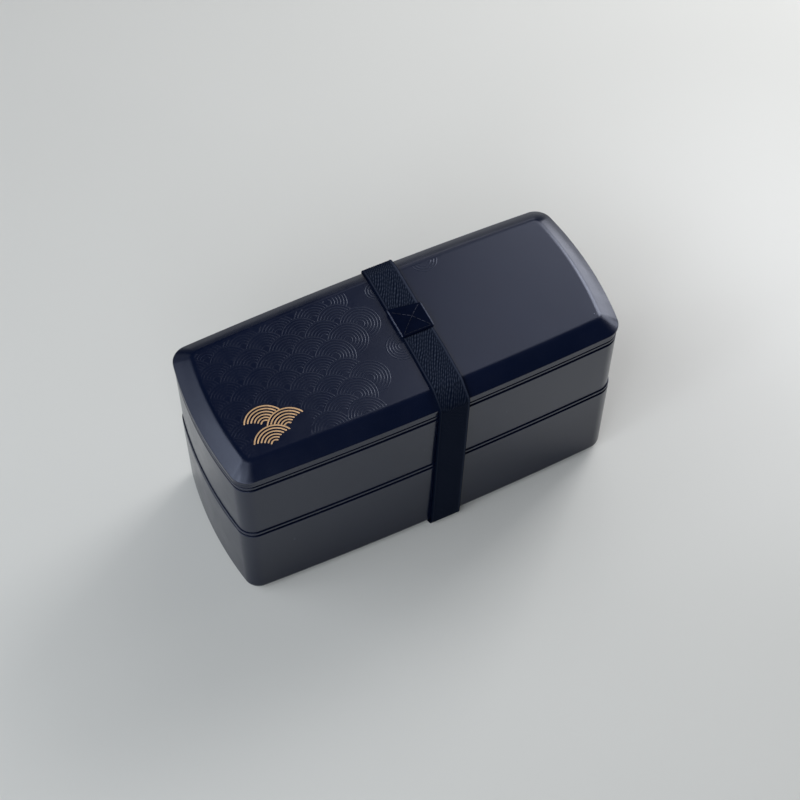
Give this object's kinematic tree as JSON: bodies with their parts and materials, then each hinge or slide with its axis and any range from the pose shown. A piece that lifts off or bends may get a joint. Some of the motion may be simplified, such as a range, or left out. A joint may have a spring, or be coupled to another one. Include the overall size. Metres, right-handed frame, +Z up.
{
  "type": "bento box",
  "caption": "Slim two-tier lunch box with bowed sides: nesting trays, sealed inner lids with vent plugs, sliding dividers, bevelled outer lid and elastic band.",
  "frame": {"origin": "centre of the footprint, on the surface that the box stands on (the underside of the band)", "axes": "+X along the long side, +Y towards the back long side, +Z up out of the lid; the strap sits a little to +X"},
  "size_m": [0.2, 0.0868, 0.1102],
  "materials": {
    "navy_plastic": "satin navy moulded plastic",
    "grey_plastic": "frosted grey moulded plastic",
    "grey_rubber": "soft matt silicone",
    "black_webbing": "woven elastic webbing",
    "black_patch": "smooth sewn patch"
  },
  "bodies": {
    "base": {"lower_tray": "navy_plastic", "strap_band": "black_webbing"},
    "lower_inner_lid": {"lower_inner_lid": "grey_plastic", "lower_lid_seal": "grey_rubber"},
    "lower_vent_plug": {"lower_vent_plug": "grey_rubber"},
    "lower_divider": {"lower_divider": "navy_plastic"},
    "upper_tray": {"upper_tray": "navy_plastic"},
    "upper_divider": {"upper_divider": "navy_plastic"},
    "upper_inner_lid": {"upper_inner_lid": "grey_plastic", "upper_lid_seal": "grey_rubber"},
    "upper_vent_plug": {"upper_vent_plug": "grey_rubber"},
    "outer_lid": {"outer_lid": "navy_plastic", "strap_patch": "black_patch"}
  },
  "joints": [
    {"name": "lower_inner_lid_lift", "type": "slide", "parent": "base", "child": "lower_inner_lid", "axis": [0, 0, 1], "range_m": [0, 0.02], "deforming": ["strap_band"]},
    {"name": "upper_tray_lift", "type": "slide", "parent": "lower_inner_lid", "child": "upper_tray", "axis": [0, 0, 1], "range_m": [0, 0.025], "deforming": ["strap_band"]},
    {"name": "upper_inner_lid_lift", "type": "slide", "parent": "upper_tray", "child": "upper_inner_lid", "axis": [0, 0, 1], "range_m": [0, 0.02], "deforming": ["strap_band"]},
    {"name": "outer_lid_lift", "type": "slide", "parent": "upper_inner_lid", "child": "outer_lid", "axis": [0, 0, 1], "range_m": [0, 0.03], "deforming": ["strap_band"]},
    {"name": "lower_vent_lift", "type": "slide", "parent": "lower_inner_lid", "child": "lower_vent_plug", "axis": [0, 0, 1], "range_m": [0, 0.002]},
    {"name": "upper_vent_lift", "type": "slide", "parent": "upper_inner_lid", "child": "upper_vent_plug", "axis": [0, 0, 1], "range_m": [0, 0.002]},
    {"name": "lower_divider_slide", "type": "slide", "parent": "base", "child": "lower_divider", "axis": [1, 0, 0], "range_m": [-0.07, 0.035]},
    {"name": "upper_divider_slide", "type": "slide", "parent": "upper_tray", "child": "upper_divider", "axis": [1, 0, 0], "range_m": [-0.07, 0.035]}
  ]
}
